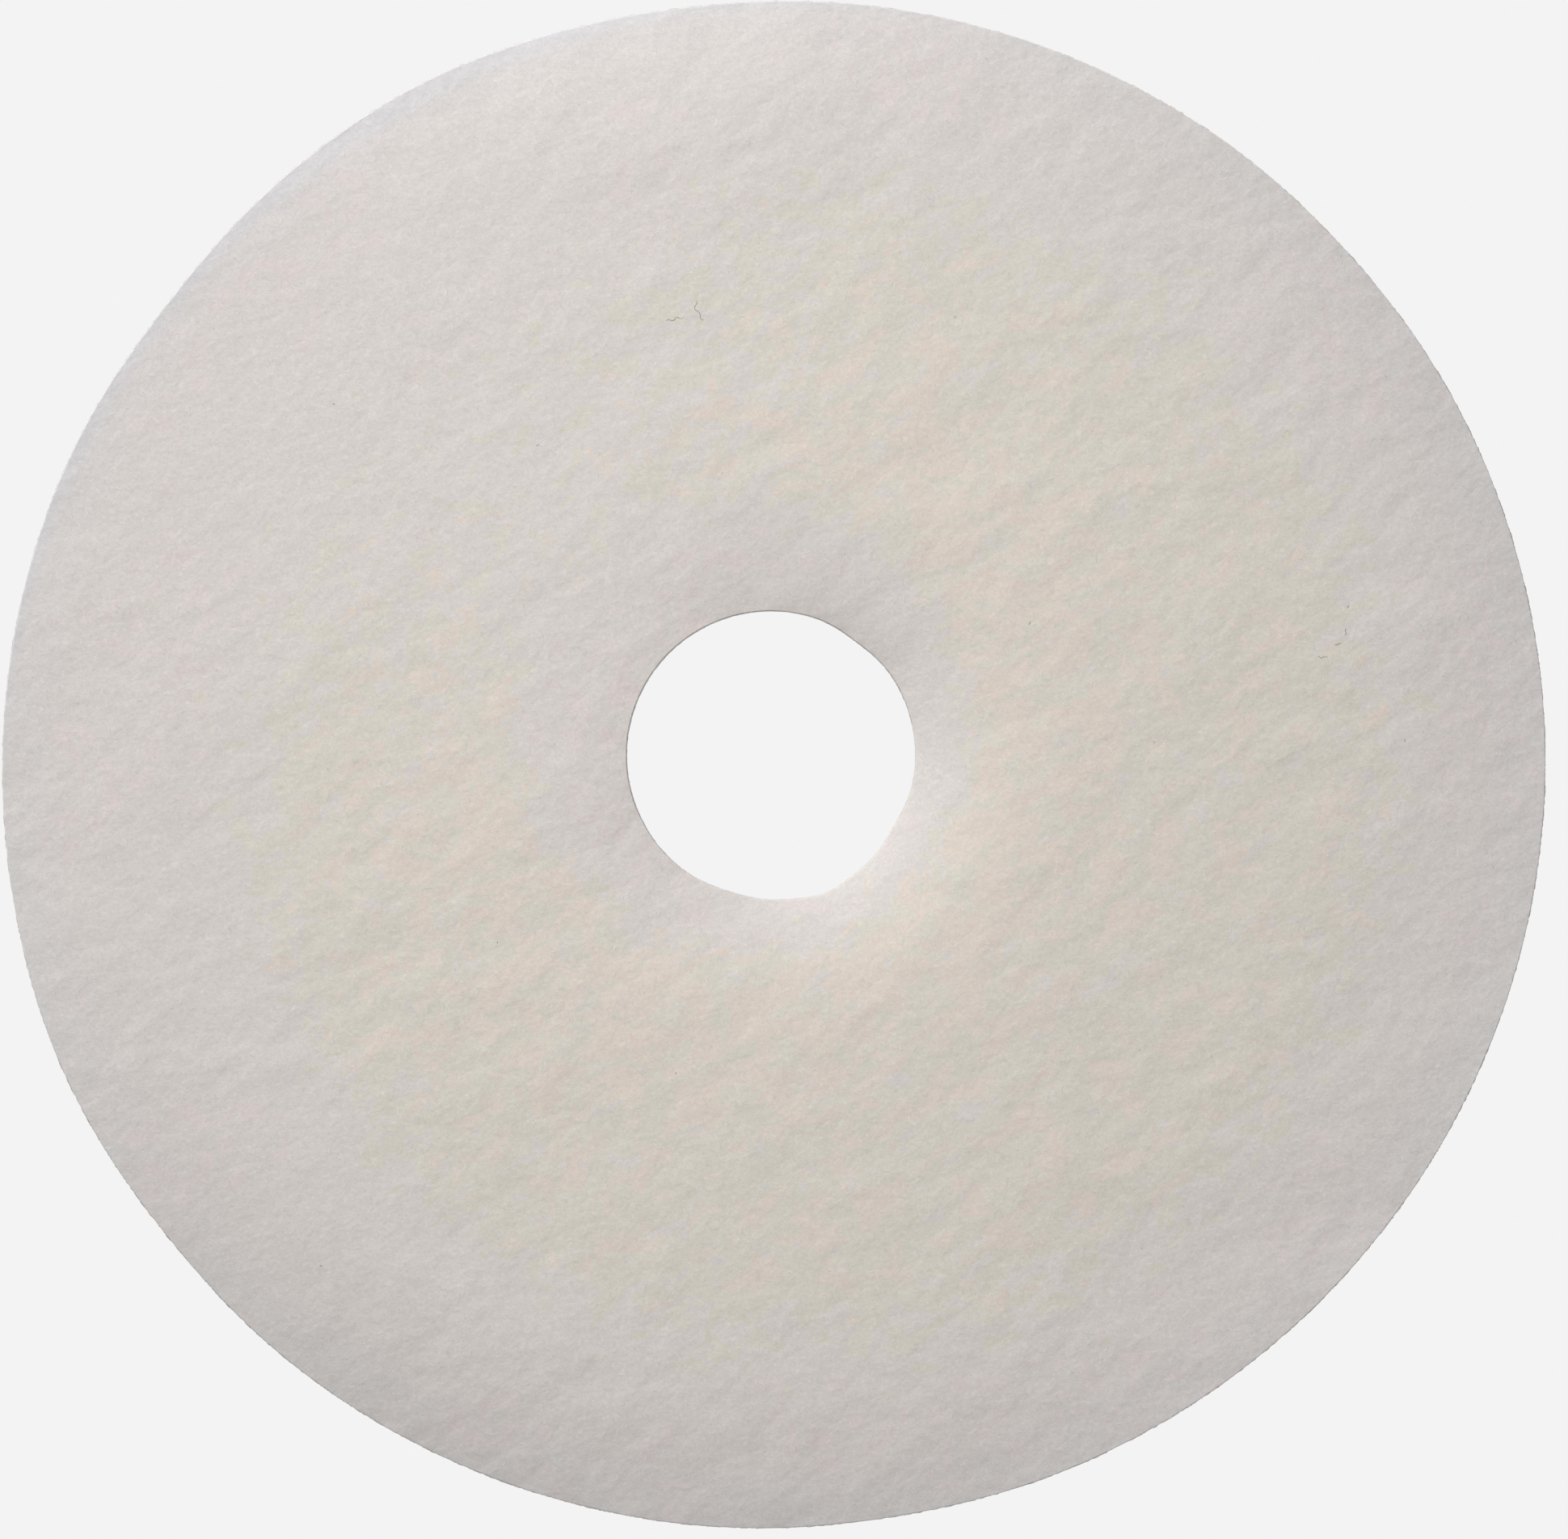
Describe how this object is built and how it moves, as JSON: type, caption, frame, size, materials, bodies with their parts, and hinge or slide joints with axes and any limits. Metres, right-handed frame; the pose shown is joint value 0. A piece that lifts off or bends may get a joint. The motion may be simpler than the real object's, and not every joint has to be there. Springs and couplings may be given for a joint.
{
  "type": "felt polishing wheel",
  "caption": "Thick soft white felted-fibre polishing wheel: a flat round disc of needled plies with soft rolled-down edges and a large centre hole.",
  "frame": {"origin": "centre of the round outline, on the plane of the back face", "axes": "+Z out of the working face, along the axis the wheel spins about; +X and +Y lie in the plane of the disc"},
  "size_m": [0.434, 0.4296, 0.0254],
  "materials": {
    "working_face_felt": "matt brushed white polyester felt",
    "core_felt": "matt open white polyester felt",
    "back_face_felt": "matt white polyester felt"
  },
  "bodies": {
    "root": {"back_face_ply": "back_face_felt", "core_ply_1": "core_felt", "core_ply_2": "core_felt", "core_ply_3": "core_felt", "core_ply_4": "core_felt", "core_ply_5": "core_felt", "core_ply_6": "core_felt", "working_face_ply": "working_face_felt"}
  },
  "joints": []
}
